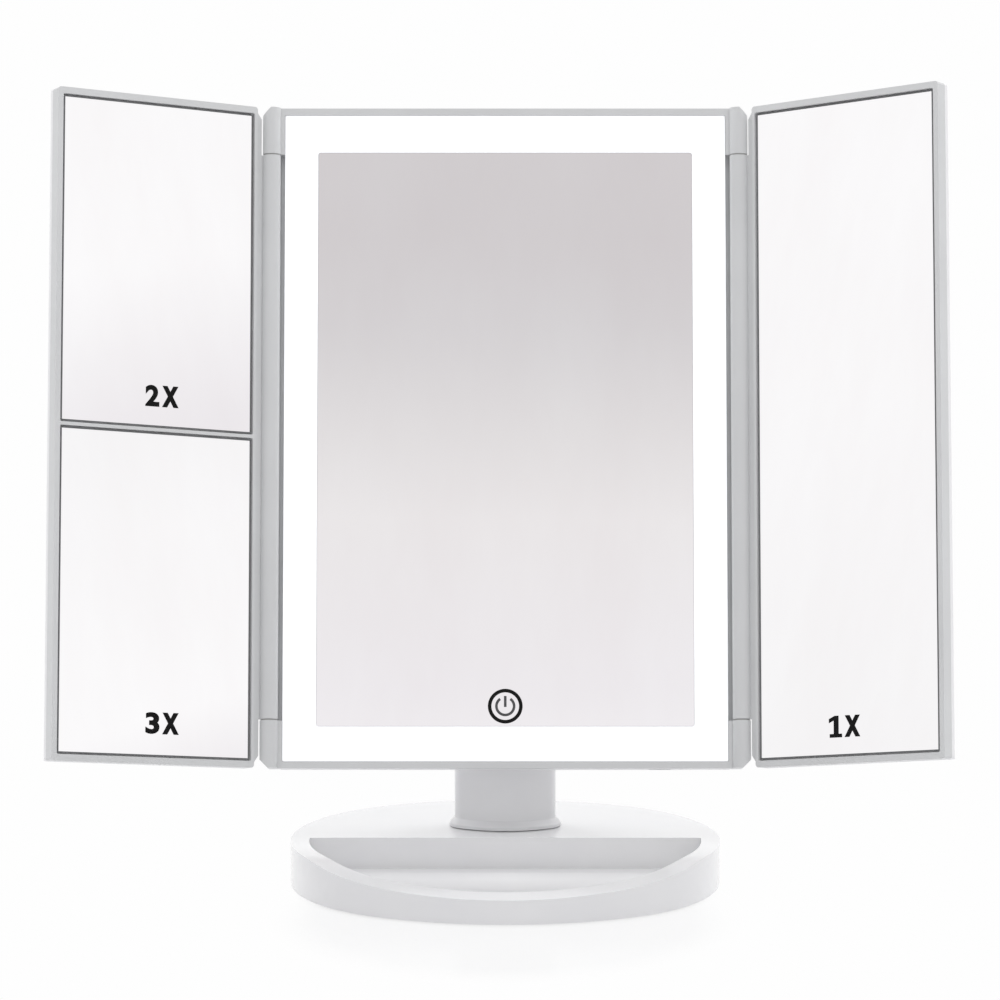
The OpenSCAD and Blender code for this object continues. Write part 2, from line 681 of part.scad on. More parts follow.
module base_top() color(abs_white) difference() {
    union() {
        difference() {
            intersection() {
                linear_extrude(40) base_oval(0);
                crosswise(300) under_top(0);
            }
            intersection() {
                translate([0, 0, -1]) linear_extrude(40) base_oval(base_wall);
                crosswise(300) under_top(base_wall);
            }
        }
        // walls and floor of the tray, posts, socket and ribs, all kept under the top
        intersection() {
            linear_extrude(40) base_oval(1);
            crosswise(300) under_top(1);
            union() {
                tray_space(1.8, 1.6);
                for (s = [-1, 1]) {
                    translate([s * rear_boss[0], rear_boss[1], deck_z])
                        cylinder(r = 3.2, h = 20);
                    translate([s * front_boss[0], front_boss[1], deck_z])
                        cylinder(r = 3.2, h = 3);
                    translate([s * 40 - 10, 44, deck_z + 9]) cube([20, 1.6, 20]);
                }
                translate([0, pivot_y, socket_floor]) linear_extrude(20)
                    oval(neck_a, neck_b + 0.6, neck_end_r + 0.6);
            }
        }
    }
    tray_space(0, 0);
    translate([0, 0, -1]) linear_extrude(base_clear + 1) square(400, center = true);
    translate([0, pivot_y, plug_z]) linear_extrude(30)
        oval(neck_a - 2.4, neck_b - 1.7, neck_end_r - 1.4);
    for (s = [-1, 1]) {
        translate([s * neck_screw_x, pivot_y, 0]) cylinder(r = 1.6, h = 30);
        translate([s * rear_boss[0], rear_boss[1], 0]) cylinder(r = 1.2, h = deck_z + 9);
        translate([s * front_boss[0], front_boss[1], 0]) cylinder(r = 1.2, h = deck_z + 2.4);
    }
}

module base_bottom() color(abs_grey) difference() {
    translate([0, 0, pad_t]) linear_extrude(bottom_t) base_oval(base_wall + 0.3);
    for (s = [-1, 1], b = [rear_boss, front_boss]) translate([s * b[0], b[1], 0]) {
        cylinder(r = 1.3, h = 10);
        cylinder(r = 2.8, h = pad_t + 0.8);
    }
}

module ballast_plate() color(steel) difference() {
    translate([0, 0, deck_z]) linear_extrude(9) intersection() {
        base_oval(base_wall + 1);
        translate([-100, tray_back + 2.6]) square([200, 100]);
    }
    translate([0, pivot_y, 0]) linear_extrude(40)
        oval(neck_a + 0.6, neck_b + 1.2, neck_end_r + 1.2);
    for (s = [-1, 1]) translate([s * rear_boss[0], rear_boss[1], 0]) cylinder(r = 3.6, h = 40);
}

module anti_slip_pad() color("gray") linear_extrude(pad_t) base_oval(4.5);

module base_screws() color(steel) for (s = [-1, 1], b = [rear_boss, front_boss])
    translate([s * b[0], b[1], pad_t]) {
        translate([0, 0, 0.8]) cylinder(r = 1.2, h = bottom_t - 0.8 + (b[1] > 0 ? 8 : 2.2));
        difference() {
            translate([0, 0, 0.05]) cylinder(r = 2.6, h = 0.75);
            for (a = [0, 90]) rotate(a) translate([-1.5, -0.3, -0.4]) cube([3, 0.6, 0.8]);
        }
    }

head_frame();
head_back_shell();
light_panel();
centre_mirror();
led_board();
led_chips();
touch_sensor();
control_board();
usb_inlet();
switch_body();
switch_slider();
tilt_bracket();
bracket_screws();
battery_box();
battery_door();
battery_contacts();
battery(1);  // battery_1
battery(2);  // battery_2
battery(3);  // battery_3
battery(4);  // battery_4
head_screws();
left_wing_frame();
left_wing_back();
mirror_2x();
mirror_3x();
upper_foam_pad();
lower_foam_pad();
right_wing_frame();
right_wing_back();
mirror_1x();
right_foam_pad();
hinge_pin(-1, true);  // hinge_pin_left_top
hinge_pin(-1, false);  // hinge_pin_left_bottom
hinge_pin(1, true);  // hinge_pin_right_top
hinge_pin(1, false);  // hinge_pin_right_bottom
hinge_washers();
neck();
tilt_shaft();
tilt_nut();
tilt_washer(-1);  // tilt_washer_left
tilt_washer(1);  // tilt_washer_right
tilt_cap(-1);  // tilt_cap_left
tilt_cap(1);  // tilt_cap_right
neck_screws();
base_top();
base_bottom();
ballast_plate();
anti_slip_pad();
base_screws();
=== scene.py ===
# %% [markdown]
# # A lit trifold vanity mirror
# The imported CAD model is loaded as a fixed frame. The lesson then gives every part its real
# finish, softens the edges of the big mouldings, makes the small pieces that a solid model
# leaves out, such as the printed marks and the cells' sleeves, and lights the whole on a
# white table.

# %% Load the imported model
import json
import math

import bmesh
import bpy
from mathutils import Matrix, Vector


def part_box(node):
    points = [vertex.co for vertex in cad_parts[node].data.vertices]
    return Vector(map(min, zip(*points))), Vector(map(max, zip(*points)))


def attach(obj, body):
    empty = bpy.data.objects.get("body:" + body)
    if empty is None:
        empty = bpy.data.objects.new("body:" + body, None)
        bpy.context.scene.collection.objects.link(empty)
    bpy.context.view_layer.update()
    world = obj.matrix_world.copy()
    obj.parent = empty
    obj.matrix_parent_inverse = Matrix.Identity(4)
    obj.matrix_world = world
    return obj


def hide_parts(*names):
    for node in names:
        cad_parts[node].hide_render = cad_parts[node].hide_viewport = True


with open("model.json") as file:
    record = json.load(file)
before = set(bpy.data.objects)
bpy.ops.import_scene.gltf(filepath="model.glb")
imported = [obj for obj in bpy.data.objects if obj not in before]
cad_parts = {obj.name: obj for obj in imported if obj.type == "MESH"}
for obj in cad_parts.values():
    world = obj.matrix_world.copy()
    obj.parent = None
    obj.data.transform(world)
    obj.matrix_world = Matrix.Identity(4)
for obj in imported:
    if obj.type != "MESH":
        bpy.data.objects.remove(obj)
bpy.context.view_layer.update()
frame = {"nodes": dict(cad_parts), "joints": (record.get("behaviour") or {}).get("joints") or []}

# %% [markdown]
# ## Where the head and the wings are
# The head leans back and the wings stand forward, so nothing on them lines up with X, Y or Z.
# The joints know how they stand: a wing's hinge axis runs along the head's height, and the
# lower end of its range tells how far it is folded from flat. One matrix for the head and one
# for each wing let every small piece be placed by plain distances on the flat panel. On a wing
# they count outwards, to the left on one side and to the right on the other.

# %% Matrices of the head and the wings
MM = 0.001
HINGE_X = 85.5 * MM
HINGE_FORWARD = 0.3 * MM
PIVOT_DEPTH = 22.4 * MM
PIVOT_UP = 28 * MM

joints = {joint["name"]: joint for joint in frame["joints"]}
right_hand = Vector((1, 0, 0))
head_up = Vector(joints["left_wing_fold"]["axis"]).normalized()
head_back = head_up.cross(right_hand)
pivot = Vector(joints["head_tilt"]["pos_m"])
head_foot = pivot - PIVOT_DEPTH * head_back - PIVOT_UP * head_up
head_axes = Matrix((right_hand, head_back, head_up)).transposed().to_4x4()
HEAD = Matrix.Translation(head_foot) @ head_axes
head_tilt = math.degrees(math.atan2(head_up.y, head_up.z))
left_fold = -math.radians(joints["left_wing_fold"]["range_deg"][0])
right_fold = math.radians(joints["right_wing_fold"]["range_deg"][0])


def wing_place(hinge_x, fold):
    """A wing's matrix. Its depths count from its lip, which lies just behind the hinge axis."""
    hinge = Matrix.Translation((hinge_x, -HINGE_FORWARD, 0))
    lip = Matrix.Translation((0, HINGE_FORWARD, 0))
    return HEAD @ hinge @ Matrix.Rotation(fold, 4, "Z") @ lip


WINGS = {"left_wing": (-1, wing_place(-HINGE_X, left_fold)),
         "right_wing": (1, wing_place(HINGE_X, right_fold))}
print(f"head leans back {head_tilt:.1f} degrees,",
      f"wings fold {math.degrees(left_fold):.1f} and {-math.degrees(right_fold):.1f} degrees")

# %% [markdown]
# ## The camera
# The photograph was taken from far away and a little above, which keeps the panel's sides
# parallel. A 180 mm lens at 1.8 m, raised by ten degrees, gives the same view.

# %% Camera
LENS = 180
DISTANCE = 1.796
ELEVATION = math.radians(9.9)
AIM = Vector((-1.9, 0, 141.25)) * MM

camera_data = bpy.data.cameras.new("camera")
camera_data.lens = LENS
camera_data.sensor_width = 36
camera_data.clip_start = 0.05
camera_data.clip_end = 50
camera = bpy.data.objects.new("camera", camera_data)
bpy.context.scene.collection.objects.link(camera)
toward_camera = Vector((0, -math.cos(ELEVATION), math.sin(ELEVATION)))
camera.location = AIM + DISTANCE * toward_camera
camera.rotation_euler = (-toward_camera).to_track_quat("-Z", "Y").to_euler()
bpy.context.scene.camera = camera
bpy.context.scene.view_settings.view_transform = "Standard"
print("camera at", [round(v, 3) for v in camera.location])

# %% [markdown]
# ## Helpers for materials
# Colours are written as hex values, as a paint chart gives them, and turned to the linear
# numbers that a shader works in. Patterns are sized in millimetres: a noise texture with a
# scale of 1000 / size has features of about that size. `add` puts one node in a tree, and
# `start_material` sets the shader's plain values. A real surface is never quite even, so
# `vary` then lets patterns move its colour, its roughness and its relief.

# %% Colour, node and material helpers
def linear(hex_colour):
    """A hex colour as linear red, green, blue and alpha."""
    channels = [int(hex_colour[i:i + 2], 16) / 255 for i in (1, 3, 5)]
    return [c / 12.92 if c <= 0.04045 else ((c + 0.055) / 1.055) ** 2.4 for c in channels] + [1]


def per_mm(size):
    """Texture scale for features of that size in millimetres."""
    return 1000 / size


def add(tree, kind, links=None, values=None, stops=(), **settings):
    """One new node with its settings, its sockets' values and links, and a ramp's stops."""
    new = tree.nodes.new(kind)
    for name, value in settings.items():
        setattr(new, name, value)
    for socket, value in (values or {}).items():
        new.inputs[socket].default_value = value
    for socket, source in (links or {}).items():
        tree.links.new(source, new.inputs[socket])
    for number, (position, colour) in enumerate(stops):
        if number == len(new.color_ramp.elements):
            new.color_ramp.elements.new(1.0)
        new.color_ramp.elements[number].position = position
        new.color_ramp.elements[number].color = linear(colour)
    return new


def start_material(name, colour, **surface):
    """A material with its shader set on plain sockets, and its tree's place input."""
    material = bpy.data.materials.new(name)
    material.use_nodes = True
    material.diffuse_color = linear(colour)
    tree = material.node_tree
    shader = tree.nodes["Principled BSDF"]
    shader.inputs["Base Color"].default_value = linear(colour)
    for socket, value in surface.items():
        shader.inputs[socket.replace("_", " ")].default_value = value
    place = add(tree, "ShaderNodeTexCoord").outputs["Object"]
    return material, tree, shader, place


def vary(tree, shader, tint=None, gloss=None, relief=()):
    """A pattern and two colours, a pattern and two roughnesses, and any number of reliefs.

    Each relief is a pattern, its depth in millimetres and its strength, and stands on the
    relief before it.
    """
    if tint:
        pattern, shade, colour = tint
        # most of a noise texture's values lie between 0.3 and 0.7
        mixed = add(tree, "ShaderNodeValToRGB", {"Fac": pattern},
                    stops=[(0.3, shade), (0.7, colour)])
        tree.links.new(mixed.outputs["Color"], shader.inputs["Base Color"])
    if gloss:
        pattern, low, high = gloss
        between = add(tree, "ShaderNodeMapRange", {"Value": pattern},
                      {"To Min": low, "To Max": high})
        tree.links.new(between.outputs["Result"], shader.inputs["Roughness"])
    below = {}
    for pattern, depth_mm, strength in relief:
        raised = add(tree, "ShaderNodeBump", {"Height": pattern, **below},
                     {"Strength": strength, "Distance": depth_mm * MM})
        below = {"Normal": raised.outputs["Normal"]}
        tree.links.new(raised.outputs["Normal"], shader.inputs["Normal"])


print("mid grey in linear light:", round(linear("#808080")[0], 3))

# %% [markdown]
# ## Moulded ABS
# The base is injection moulded in a polished tool: white ABS with a wet gloss, broken only by
# the very slow waviness that thick plastic takes on as it shrinks. The shells and frames come
# from tools with a fine spark-eroded grain, which spreads the highlight. All of them share
# one recipe: a clean colour, a roughness that wanders a little, and a small bump.

# %% ABS finishes
ABS_IOR = 1.53
COAT_ROUGHNESS = 0.06
CLOUD_MM = 35
PATCH_MM = 9
WAVE_MM = 14


def moulded_abs(name, colour, shade, roughness, grain_mm, grain_depth, wave_depth=0.0, coat=0.0):
    """Depths are in millimetres, and the roughness is a range."""
    material, tree, shader, place = start_material(
        name, colour, IOR=ABS_IOR, Roughness=sum(roughness) / 2, Coat_Weight=coat,
        Coat_Roughness=COAT_ROUGHNESS)
    cloud, patch, wave, grain = [
        add(tree, "ShaderNodeTexNoise", {"Vector": place},
            {"Scale": per_mm(size), "Detail": detail}).outputs["Fac"]
        for size, detail in ((CLOUD_MM, 3), (PATCH_MM, 4), (WAVE_MM, 1), (grain_mm, 2))]
    vary(tree, shader, tint=(cloud, shade, colour), gloss=(patch, *roughness),
         relief=[(wave, wave_depth, 0.5), (grain, grain_depth, 0.5)])
    return material


# the real grain is near 0.05 mm; it is drawn at 0.6 to 1.2 mm so that it shows at all
base_gloss = moulded_abs("polished_white_abs", "#F4F4F5", "#F1F1F3", roughness=(0.10, 0.16),
                         grain_mm=1.2, grain_depth=0.002, wave_depth=0.012, coat=0.5)
shell_white = moulded_abs("grained_white_abs", "#F0F0F1", "#EEEEF0", roughness=(0.30, 0.38),
                          grain_mm=0.6, grain_depth=0.008, wave_depth=0.006)
frame_grey = moulded_abs("grained_grey_abs", "#D7D8D9", "#D2D3D4", roughness=(0.30, 0.36),
                         grain_mm=0.6, grain_depth=0.006, wave_depth=0.004)
stand_grey = moulded_abs("satin_white_abs", "#EDEDEE", "#E9E9EB", roughness=(0.30, 0.38),
                         grain_mm=0.7, grain_depth=0.005, wave_depth=0.006)
print("ABS finishes:", base_gloss.name, shell_white.name, frame_grey.name, stand_grey.name)

# %% [markdown]
# ## Silvered glass
# A mirror is float glass with a silver film behind it. What the eye gets is nearly all of the
# light, a little cooler and darker, from a surface so smooth that only the faint smears of a
# wiping cloth spread it. A metallic surface with a tiny, wandering roughness does this. The
# two magnifiers are slightly dished. Their hollow is less than 3 mm deep even at the corners,
# so it goes into the normal: a bump whose height grows with the square of the distance from
# the middle of the glass.

# %% Silvered glass
SMEAR_MM = 30
SMEAR_STRETCH = 0.25
METRE = 1000
DISH_RADIUS_2X = 1400
DISH_RADIUS_3X = 900


def silvered_glass(name, centre=None, curve_radius_mm=None):
    material, tree, shader, place = start_material(
        name, "#FBFAFB", Metallic=1.0, Roughness=0.01)
    smear = add(tree, "ShaderNodeMapping", {"Vector": place}, {"Scale": (1, 1, SMEAR_STRETCH)})
    wiped = add(tree, "ShaderNodeTexNoise", {"Vector": smear.outputs["Vector"]},
                {"Scale": per_mm(SMEAR_MM), "Detail": 4, "Roughness": 0.6}).outputs["Fac"]
    vary(tree, shader, tint=(wiped, "#FAF8F9", "#FDFCFD"), gloss=(wiped, 0.004, 0.02))
    if centre is not None:
        middle = add(tree, "ShaderNodeMapping", {"Vector": place},
                     {"Location": -centre}).outputs["Vector"]
        square = add(tree, "ShaderNodeVectorMath", {0: middle, 1: middle}, operation="DOT_PRODUCT")
        dish = add(tree, "ShaderNodeMath", {0: square.outputs["Value"]},
                   {1: 1 / (2 * curve_radius_mm * MM)}, operation="MULTIPLY")
        # the dish's height is in metres already, so its depth is one metre
        vary(tree, shader, relief=[(dish.outputs["Value"], METRE, 1.0)])
    return material


def middle_of(node):
    low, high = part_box(node)
    return (Vector(low) + Vector(high)) / 2


def dish_depth(node, curve_radius_mm):
    """The depth of the hollow at the glass's corners, in millimetres."""
    corners = [vert.co - middle_of(node) for vert in frame["nodes"][node].data.vertices]
    return (max(corner.length for corner in corners) / MM) ** 2 / (2 * curve_radius_mm)


plain_mirror = silvered_glass("silvered_float_glass")
double_mirror = silvered_glass("silvered_dished_glass_2x", middle_of("mirror_2x"), DISH_RADIUS_2X)
triple_mirror = silvered_glass("silvered_dished_glass_3x", middle_of("mirror_3x"), DISH_RADIUS_3X)
print(f"hollows at the corners: {dish_depth('mirror_2x', DISH_RADIUS_2X):.1f} mm",
      f"and {dish_depth('mirror_3x', DISH_RADIUS_3X):.1f} mm")

# %% [markdown]
# ## The frosted light panel
# A ring of lamps shines into a plate of opal acrylic, whose fine white particles scatter the
# light until the whole face glows evenly. Only a faint swell remains over each lamp. The
# plate gives off light by itself here: with the room's light on top, it looks just under full
# white. The swell is a very weak sine wave whose pitch is the lamps' spacing. Only its front
# face glows: the narrow edge stands in a slot beside the hinges, which is dark on the real
# mirror, so the glow's colour is black wherever a face looks another way. The wave texture
# turns 20 radians per unit, so its scale is a full turn over twenty pitches, and its phase
# puts a crest on the lowest lamp.

# %% Opal acrylic
ACRYLIC_IOR = 1.49
PANEL_HEIGHT = 242.2
LAMP_MARGIN = 24
LAMP_GAPS = 8
LAMP_PITCH = (PANEL_HEIGHT - 2 * LAMP_MARGIN) / LAMP_GAPS
GLOW = 0.38
WAVE_TURN = 20
FULL_TURN = 2 * math.pi
FACING_FRONT = 0.9


def opal_acrylic():
    material, tree, shader, place = start_material(
        "opal_acrylic", "#F3F5F8", Roughness=0.45, IOR=ACRYLIC_IOR, Emission_Strength=GLOW)
    upright = add(tree, "ShaderNodeMapping", {"Vector": place},
                  {"Rotation": (math.radians(head_tilt), 0, 0)})
    lowest_lamp = head_foot.dot(head_up) / MM + LAMP_MARGIN
    swell = add(tree, "ShaderNodeTexWave", {"Vector": upright.outputs["Vector"]},
                {"Scale": FULL_TURN / WAVE_TURN * per_mm(LAMP_PITCH), "Distortion": 0.0,
                 "Phase Offset": math.pi - FULL_TURN * lowest_lamp / LAMP_PITCH},
                wave_type="BANDS", bands_direction="Z", wave_profile="SIN")
    glow = add(tree, "ShaderNodeValToRGB", {"Fac": swell.outputs["Color"]},
               stops=[(0, "#FBFCFE"), (1, "#FFFFFF")]).outputs["Color"]
    normal = add(tree, "ShaderNodeTexCoord").outputs["Normal"]
    facing = add(tree, "ShaderNodeVectorMath", {0: normal}, {1: -head_back},
                 operation="DOT_PRODUCT").outputs["Value"]
    front = add(tree, "ShaderNodeMath", {0: facing}, {1: FACING_FRONT}, operation="GREATER_THAN")
    glowing = add(tree, "ShaderNodeVectorMath", {0: glow, "Scale": front.outputs["Value"]},
                  operation="SCALE")
    tree.links.new(glowing.outputs["Vector"], shader.inputs["Emission Color"])
    frosting = add(tree, "ShaderNodeTexNoise", {"Vector": place}, {"Scale": per_mm(0.8)})
    vary(tree, shader, relief=[(frosting.outputs["Fac"], 0.004, 1.0)])
    return material


opal = opal_acrylic()
print("lamp pitch", LAMP_PITCH, "mm")

# %% [markdown]
# ## Metals
# The screws, pins and bolt are zinc plated: bright, slightly blue, with a soft spangle. The
# ballast under the base is plain rolled plate, darker and streaked along its rolling
# direction. The battery contacts are nickel plated spring steel.

# %% Metal finishes
ROLLING_STRETCH = 0.05


def plated(name, colour, shade, roughness, grain_mm):
    material, tree, shader, place = start_material(name, colour, Metallic=1.0)
    spangle = add(tree, "ShaderNodeTexVoronoi", {"Vector": place}, {"Scale": per_mm(grain_mm)})
    patch, grain = [
        add(tree, "ShaderNodeTexNoise", {"Vector": place},
            {"Scale": per_mm(size), "Detail": detail}).outputs["Fac"]
        for size, detail in ((grain_mm * 3, 3), (grain_mm / 2, 2))]
    vary(tree, shader, tint=(spangle.outputs["Distance"], shade, colour),
         gloss=(patch, *roughness), relief=[(grain, 0.004, 1.0)])
    return material


def rolled_steel():
    material, tree, shader, place = start_material("rolled_steel_plate", "#8B8C8E", Metallic=1.0)
    streaks = add(tree, "ShaderNodeMapping", {"Vector": place}, {"Scale": (ROLLING_STRETCH, 1, 1)})
    lines = add(tree, "ShaderNodeTexNoise", {"Vector": streaks.outputs["Vector"]},
                {"Scale": per_mm(1.0), "Detail": 5, "Roughness": 0.7}).outputs["Fac"]
    vary(tree, shader, tint=(lines, "#77787A", "#95969A"), gloss=(lines, 0.35, 0.6),
         relief=[(lines, 0.02, 1.0)])
    return material


zinc = plated("zinc_plated_steel", "#C9CCD1", "#B6B9BF", roughness=(0.22, 0.36), grain_mm=0.8)
nickel = plated("nickel_plated_spring_steel", "#CDCAC2", "#BDB9B0", roughness=(0.16, 0.28),
                grain_mm=0.6)
steel_plate = rolled_steel()
print("metals:", zinc.name, nickel.name, steel_plate.name)

# %% [markdown]
# ## Electronics, foam and rubber
# The boards are glass-fibre laminate under a white solder mask, in which the weave of the
# cloth still shows. The lamps are yellow phosphor in a white package. The touch pad is
# copper foil. Foam and rubber are matt, with small cells or a moulded grain. The cloth's weave
# and the plastics' grain are finer on the real parts, and are drawn coarser so that they show.

# %% Board, lamp, foil, foam, rubber, nylon and black plastic
CLOTH_MM = 0.8


def masked_board():
    material, tree, shader, place = start_material("white_solder_mask", "#E9ECE8", Roughness=0.35)
    cloth = add(tree, "ShaderNodeTexBrick", {"Vector": place},
                {"Scale": per_mm(CLOTH_MM), "Color1": linear("#E9ECE8"),
                 "Color2": linear("#DFE4DE"), "Mortar": linear("#D2D9D0"), "Mortar Size": 0.01})
    tree.links.new(cloth.outputs["Color"], shader.inputs["Base Color"])
    vary(tree, shader, relief=[(cloth.outputs["Fac"], 0.01, 1.0)])
    return material


def soft_goods(name, colour, shade, cell_mm, depth):
    material, tree, shader, place = start_material(name, colour, Roughness=0.85)
    cells = add(tree, "ShaderNodeTexVoronoi", {"Vector": place},
                {"Scale": per_mm(cell_mm)}).outputs["Distance"]
    patch = add(tree, "ShaderNodeTexNoise", {"Vector": place}, {"Scale": per_mm(6)})
    vary(tree, shader, tint=(cells, shade, colour), gloss=(patch.outputs["Fac"], 0.75, 0.95),
         relief=[(cells, depth, 1.0)])
    return material


board = masked_board()
phosphor = moulded_abs("lamp_phosphor", "#F1DE7A", "#E8CF5E", roughness=(0.4, 0.6),
                       grain_mm=0.5, grain_depth=0.01)
copper = plated("copper_foil", "#D08A5E", "#B9734A", roughness=(0.25, 0.4), grain_mm=0.7)
foam = soft_goods("closed_cell_foam", "#3A3A3D", "#2A2A2C", cell_mm=0.8, depth=0.15)
rubber = soft_goods("moulded_eva_pad", "#8E8F92", "#7F8083", cell_mm=1.5, depth=0.05)
nylon = moulded_abs("grey_nylon", "#B4B4B2", "#ABABA9", roughness=(0.35, 0.5), grain_mm=0.8,
                    grain_depth=0.01)
black = moulded_abs("black_abs", "#1B1B1D", "#232326", roughness=(0.35, 0.5), grain_mm=0.5,
                    grain_depth=0.01)
print("small parts' finishes:", [material.name for material in
                                 (board, phosphor, copper, foam, rubber, nylon, black)])

# %% [markdown]
# ## Finishes on the CAD parts
# A part whose solid already has the right shape only needs its finish. The table says which
# finish each one gets.

# %% Give the CAD parts their finishes
finishes = {
    base_gloss: ["base_top", "base_bottom"],
    shell_white: ["head_back_shell", "left_wing_back", "right_wing_back", "battery_door",
                  "battery_box", "tilt_bracket"],
    frame_grey: ["head_frame", "left_wing_frame", "right_wing_frame"],
    stand_grey: ["neck", "tilt_cap_left", "tilt_cap_right"],
    plain_mirror: ["centre_mirror", "mirror_1x"],
    double_mirror: ["mirror_2x"],
    triple_mirror: ["mirror_3x"],
    opal: ["light_panel"],
    zinc: ["head_screws", "bracket_screws", "neck_screws", "base_screws", "tilt_shaft",
           "tilt_nut", "hinge_pin_left_top", "hinge_pin_left_bottom", "hinge_pin_right_top",
           "hinge_pin_right_bottom", "usb_inlet", "switch_body"],
    nickel: ["battery_contacts"],
    steel_plate: ["ballast_plate"],
    board: ["led_board", "control_board"],
    phosphor: ["led_chips"],
    copper: ["touch_sensor"],
    foam: ["upper_foam_pad", "lower_foam_pad", "right_foam_pad"],
    rubber: ["anti_slip_pad"],
    nylon: ["hinge_washers", "tilt_washer_left", "tilt_washer_right"],
    black: ["switch_slider"],
}


def finish_with(piece, material):
    piece.data.materials.clear()
    piece.data.materials.append(material)


for material, names in finishes.items():
    for name in names:
        finish_with(frame["nodes"][name], material)
bare = sorted(set(frame["nodes"]) - {name for names in finishes.values() for name in names})
print("CAD parts with a finish:", len(frame["nodes"]) - len(bare), "still bare:", bare)

# %% [markdown]
# ## Softened edges
# No moulded edge is sharp: the tool's cutter leaves a small radius, and that radius is what
# catches a line of light round the rim of the base, the tray and the frames. It could be
# drawn by hand, edge by edge. It is quicker to copy the solid, weld its loose triangles, melt
# flat neighbours into whole faces, pick every edge where two faces meet sharply, and let the
# bevel operator roll them over. Smooth shading would then bend the light across the wide flat
# faces as well, so a modifier weighs each face's say in the normals by its area.

# %% Soften a CAD part's edges
WELD = 0.002 * MM
FLAT = math.radians(0.3)
SHARP = math.radians(35)


def put_on(body, piece, material, *replaced):
    finish_with(piece, material)
    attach(piece, body)
    if replaced:
        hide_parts(*replaced)
    return piece


def new_piece(name, bm):
    mesh = bpy.data.meshes.new(name)
    bm.to_mesh(mesh)
    bm.free()
    piece = bpy.data.objects.new(name, mesh)
    bpy.context.scene.collection.objects.link(piece)
    return piece


def shade_by_angle(bm, smooth_below=40):
    limit = math.radians(smooth_below)
    for face in bm.faces:
        face.smooth = True
    for edge in bm.edges:
        edge.smooth = len(edge.link_faces) == 2 and edge.calc_face_angle(0) < limit


def softened(node, body, material, radius_mm, segments):
    bm = bmesh.new()
    bm.from_mesh(frame["nodes"][node].data)
    bmesh.ops.remove_doubles(bm, verts=bm.verts, dist=WELD)
    bmesh.ops.dissolve_limit(bm, angle_limit=FLAT, use_dissolve_boundaries=False,
                             verts=bm.verts, edges=bm.edges)
    sharp = [edge for edge in bm.edges
             if len(edge.link_faces) == 2 and edge.calc_face_angle(0) > SHARP]
    bmesh.ops.bevel(bm, geom=sharp, affect="EDGES", offset=radius_mm * MM, segments=segments,
                    profile=0.5, clamp_overlap=True, material=-1)
    shade_by_angle(bm)
    print(node, "sharp edges", len(sharp), "faces", len(bm.faces))
    piece = put_on(body, new_piece(node + "_softened", bm), material, node)
    even = piece.modifiers.new("area_weighted_normals", "WEIGHTED_NORMAL")
    even.keep_sharp = True


# the body, the finish, the edge's radius in mm and the number of steps round it
soft_edges = {
    "base_top": ("base", base_gloss, 0.9, 3),
    "head_frame": ("head", frame_grey, 0.25, 2),
    "left_wing_frame": ("left_wing", frame_grey, 0.25, 2),
    "right_wing_frame": ("right_wing", frame_grey, 0.25, 2),
    "neck": ("base", stand_grey, 0.3, 2),
    "battery_box": ("head", shell_white, 0.4, 2),
    "tilt_bracket": ("head", shell_white, 0.35, 2),
    "head_back_shell": ("head", shell_white, 0.25, 2),
}
for node, row in soft_edges.items():
    softened(node, *row)

# %% [markdown]
# ## The printed touch symbol
# The power symbol on the centre glass is screen printed: a film of matt ink a few hundredths of
# a millimetre thick, black for its outer ring and grey within. A low specular level keeps the
# white room from greying it. The symbol could be text in a symbol font, but then its strokes
# would be the font's. So it is drawn as a ring, an arc that is open at the top, and a bar. A
# ring or an arc is a short edge spun about the centre, and a flat print gets its thickness by
# being extruded forward.

# %% Ink and the touch symbol
INK = 0.05 * MM
SAME_PLACE = 1e-6
ARC_STEP = 6
FACE_SINK = 0.6 * MM
SYMBOL_HEIGHT = 22.5 * MM
# radius and width in mm, then start and sweep in degrees
SYMBOL_RING = (5.65, 1.3, 0, 360)
SYMBOL_ARC = (3.2, 0.95, 125, 290)
# width and height in mm
SYMBOL_BAR = (0.95, 4.0)
SYMBOL_BAR_UP = 1.7 * MM


def printing_ink(name, colour, shade):
    material, tree, shader, place = start_material(name, colour, Roughness=0.6,
                                                   Specular_IOR_Level=0.15)
    cloud, patch, grain = [
        add(tree, "ShaderNodeTexNoise", {"Vector": place},
            {"Scale": per_mm(size), "Detail": detail}).outputs["Fac"]
        for size, detail in ((2, 3), (1, 2), (0.4, 2))]
    vary(tree, shader, tint=(cloud, shade, colour), gloss=(patch, 0.55, 0.7),
         relief=[(grain, 0.004, 1.0)])
    return material


def arc_band(bm, radius_mm, width_mm, start, sweep):
    """A flat band in the XZ plane, from start degrees, anticlockwise as the viewer sees it."""
    turn = Matrix.Rotation(-math.radians(start), 4, "Y")
    radius, width = radius_mm * MM, width_mm * MM
    ends = [bm.verts.new(turn @ Vector((radius + s * width / 2, 0, 0))) for s in (-1, 1)]
    edge = bm.edges.new(ends)
    bmesh.ops.spin(bm, geom=[edge, *ends], cent=(0, 0, 0), axis=(0, -1, 0),
                   angle=math.radians(sweep), steps=int(sweep / ARC_STEP), use_merge=sweep == 360)


def flat_rectangle(bm, width_mm, height_mm):
    """A flat rectangle in the XZ plane, about the origin. Returns its vertices."""
    made = bmesh.ops.create_grid(bm, x_segments=1, y_segments=1, size=0.5 * MM)["verts"]
    bmesh.ops.rotate(bm, verts=made, matrix=Matrix.Rotation(math.pi / 2, 3, "X"))
    bmesh.ops.scale(bm, verts=made, vec=(width_mm, 1, height_mm))
    return made


